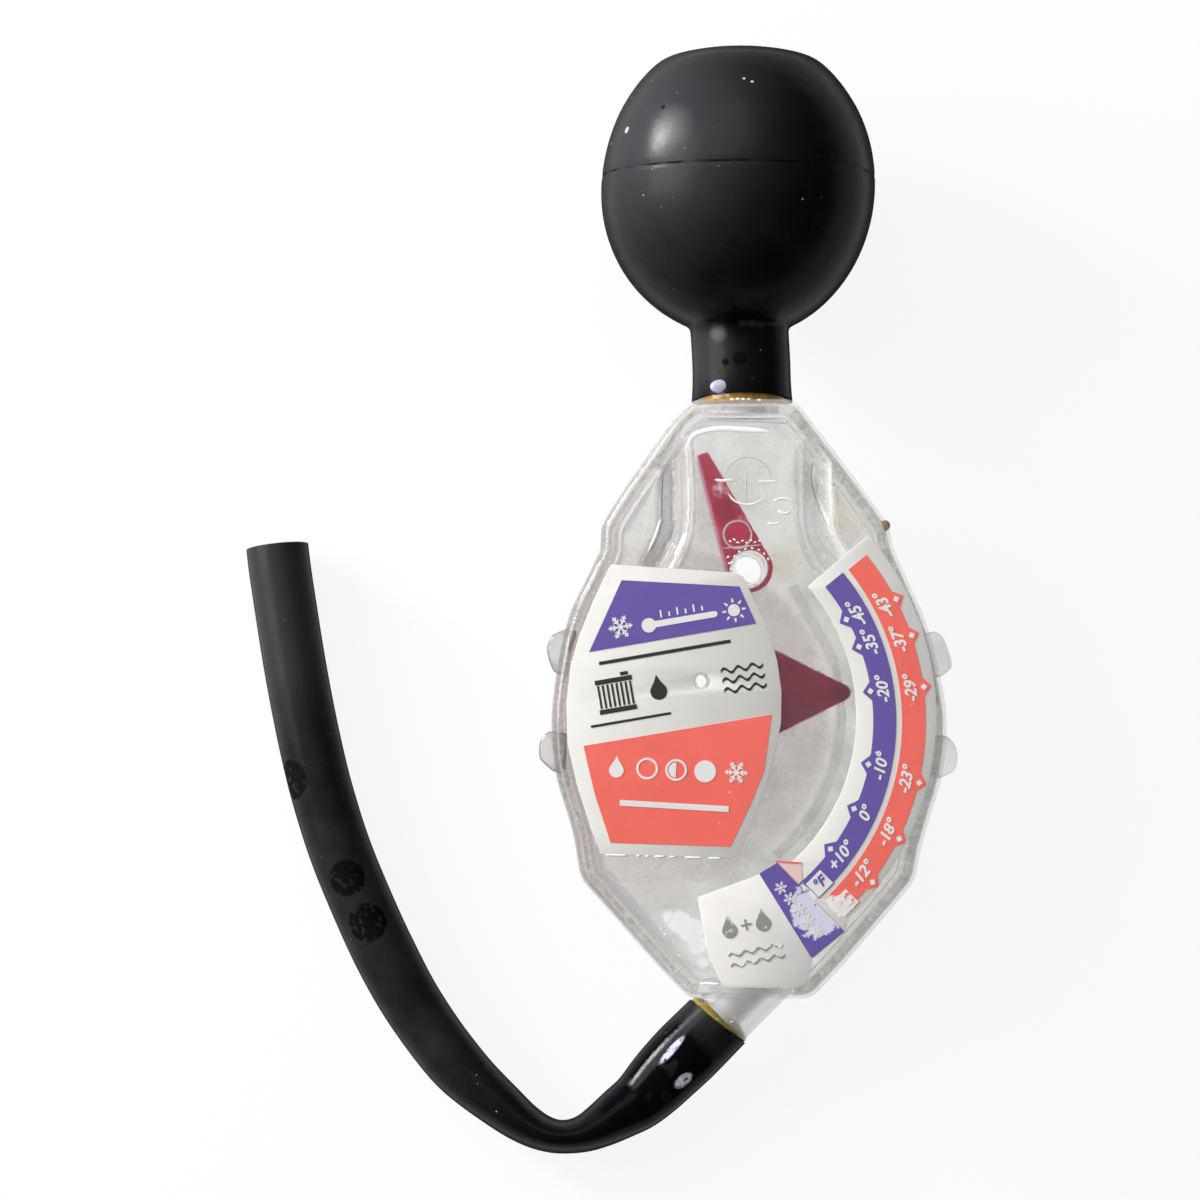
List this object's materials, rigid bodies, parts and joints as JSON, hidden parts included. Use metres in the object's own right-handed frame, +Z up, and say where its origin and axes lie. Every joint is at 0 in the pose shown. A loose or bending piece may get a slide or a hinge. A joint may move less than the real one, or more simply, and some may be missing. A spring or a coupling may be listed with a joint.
{
  "type": "antifreeze tester",
  "caption": "Squeeze-bulb antifreeze tester: clear housing with a swinging pointer, a temperature scale, a level arm and a rubber suction hose.",
  "frame": {"origin": "on the surface that the tester lies on, under the middle of the box round everything but the hose", "axes": "+Y along the tester from the hose end to the bulb, +X to the right of the dial, +Z up, with the dial facing up"},
  "size_m": [0.1251, 0.195, 0.048],
  "materials": {
    "black_rubber": "satin moulded rubber",
    "hose_rubber": "satin extruded rubber",
    "clear_plastic": "clear moulded plastic",
    "amber_cement": "hardened amber cement",
    "maroon_plastic": "moulded plastic",
    "crimson_plastic": "moulded plastic",
    "label_paper": "printed sticker",
    "steel_pin": "drawn wire",
    "brass_weight": "turned"
  },
  "bodies": {
    "housing": {"front_shell": "clear_plastic", "back_shell": "clear_plastic", "seam_sealant_left": "amber_cement", "seam_sealant_right": "amber_cement", "bulb_sealant": "amber_cement", "hose_sealant": "amber_cement", "level_arm_post": "clear_plastic", "stop_post": "clear_plastic", "pointer_pivot_pin": "steel_pin", "name_label": "label_paper", "scale_label": "label_paper", "suction_hose": "hose_rubber"},
    "bulb": {"squeeze_bulb": "black_rubber"},
    "pointer": {"pointer_float": "maroon_plastic", "pointer_weight": "brass_weight"},
    "level": {"level_arm": "crimson_plastic", "level_arm_plug": "crimson_plastic"}
  },
  "joints": [
    {"name": "bulb_squeeze", "type": "slide", "parent": "housing", "child": "bulb", "axis": [0, -0.9962, -0.0872], "range_m": [0, 0.014], "stiffness_N_per_m": 400, "deforming": ["squeeze_bulb"]},
    {"name": "pointer_swing", "type": "hinge", "parent": "housing", "child": "pointer", "pos_m": [-0.0155, -0.02699, 0.01595], "axis": [0, -0.0872, 0.9962], "range_deg": [-52, 24]},
    {"name": "level_arm_swing", "type": "hinge", "parent": "housing", "child": "level", "pos_m": [0.0003, -0.00144, 0.01819], "axis": [0, -0.0872, 0.9962], "range_deg": [-43, 0]}
  ]
}
